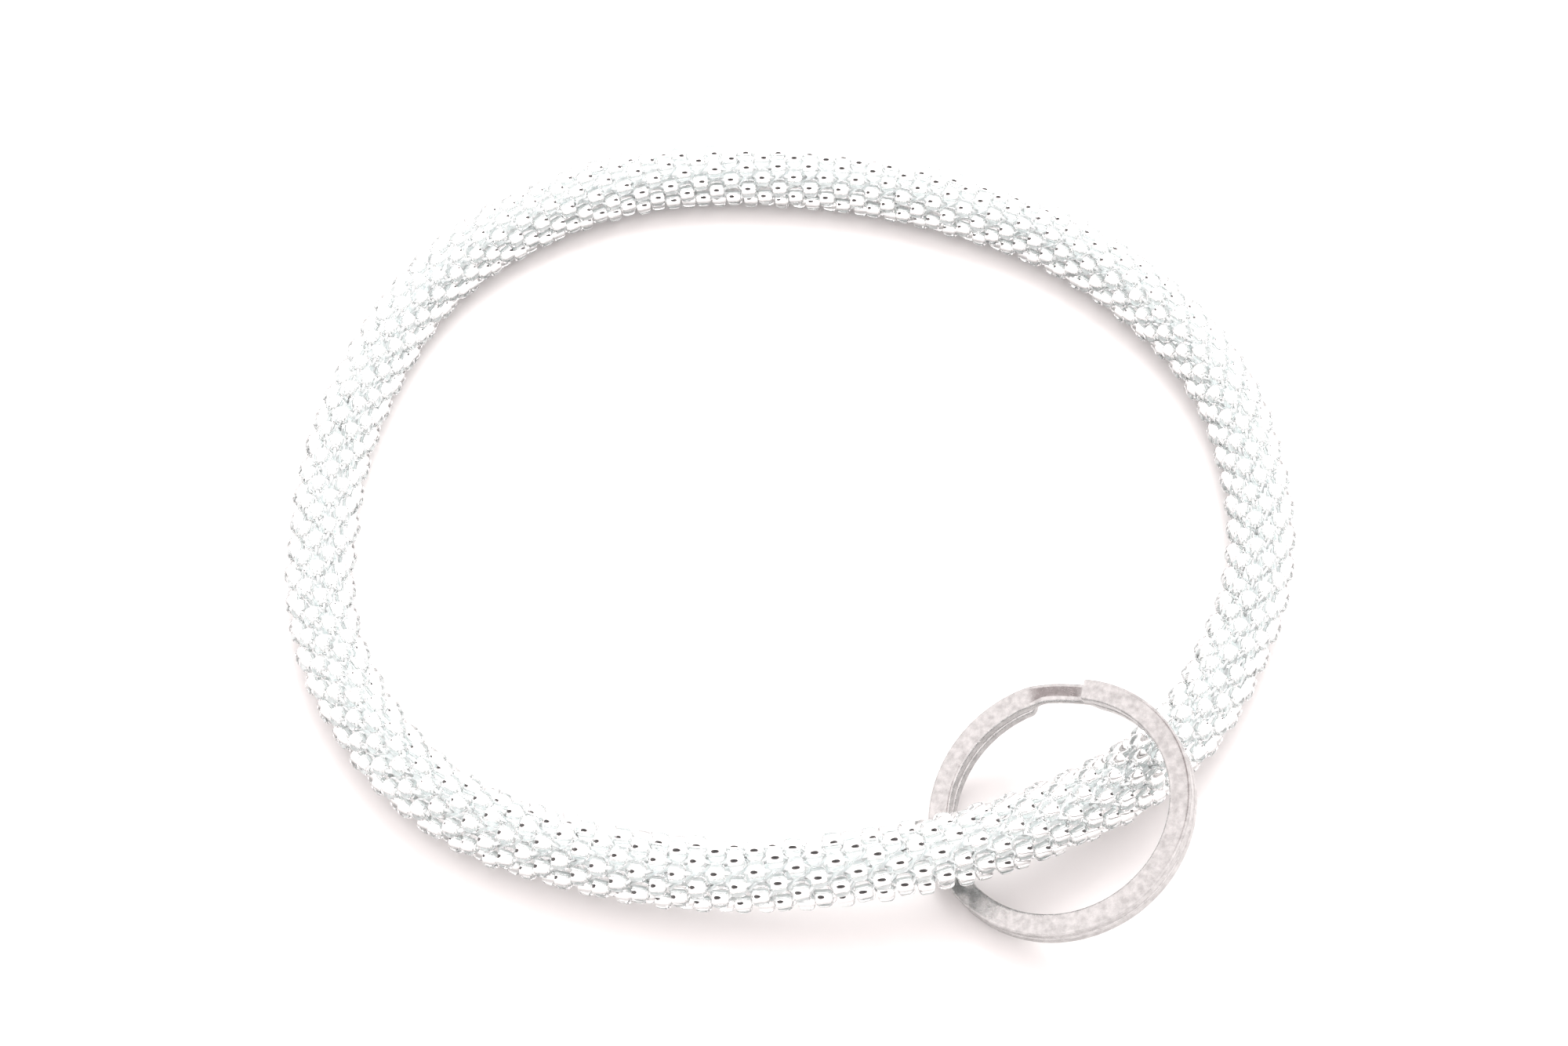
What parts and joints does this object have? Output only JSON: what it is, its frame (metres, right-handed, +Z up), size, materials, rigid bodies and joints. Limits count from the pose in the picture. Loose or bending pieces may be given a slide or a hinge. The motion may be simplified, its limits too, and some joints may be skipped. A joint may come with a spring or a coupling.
{
  "type": "beaded bangle",
  "caption": "Bead crochet rope joined into a wrist loop, with a flat wire split ring threaded round it.",
  "frame": {"origin": "centre of the bounding box, on the surface that the bangle lies on", "axes": "+Z up through the wrist opening; the split ring is at the -Y side, towards +X"},
  "size_m": [0.0999, 0.0994, 0.0122],
  "materials": {
    "bead_glass": "clear glass, silver lined",
    "thread": "twisted white crochet thread",
    "ring_steel": "nickel plated, brushed"
  },
  "bodies": {
    "rope": {"thread_core": "thread", "bead_run_01": "bead_glass", "bead_run_02": "bead_glass", "bead_run_03": "bead_glass", "bead_run_04": "bead_glass", "bead_run_05": "bead_glass", "bead_run_06": "bead_glass", "bead_run_07": "bead_glass", "bead_run_08": "bead_glass", "bead_run_09": "bead_glass", "bead_run_10": "bead_glass", "bead_run_11": "bead_glass", "bead_run_12": "bead_glass", "bead_run_13": "bead_glass", "bead_run_14": "bead_glass", "bead_run_15": "bead_glass", "bead_run_16": "bead_glass", "bead_run_17": "bead_glass", "bead_run_18": "bead_glass", "bead_run_19": "bead_glass", "bead_run_20": "bead_glass", "bead_run_21": "bead_glass", "bead_run_22": "bead_glass", "bead_run_23": "bead_glass", "bead_run_24": "bead_glass", "bead_run_25": "bead_glass", "bead_run_26": "bead_glass", "bead_run_27": "bead_glass", "bead_run_28": "bead_glass", "bead_run_29": "bead_glass", "bead_run_30": "bead_glass", "bead_run_31": "bead_glass", "bead_run_32": "bead_glass", "bead_run_33": "bead_glass", "bead_run_34": "bead_glass", "bead_run_35": "bead_glass", "bead_run_36": "bead_glass", "bead_run_37": "bead_glass", "bead_run_38": "bead_glass", "bead_run_39": "bead_glass", "bead_run_40": "bead_glass"},
    "ring": {"split_ring": "ring_steel"}
  },
  "joints": [
    {"name": "ring_turn", "type": "hinge", "parent": "rope", "child": "ring", "pos_m": [0.02394, -0.03736, 0.0072], "axis": [-0.3751, -0.153, 0.9143], "continuous": true}
  ]
}
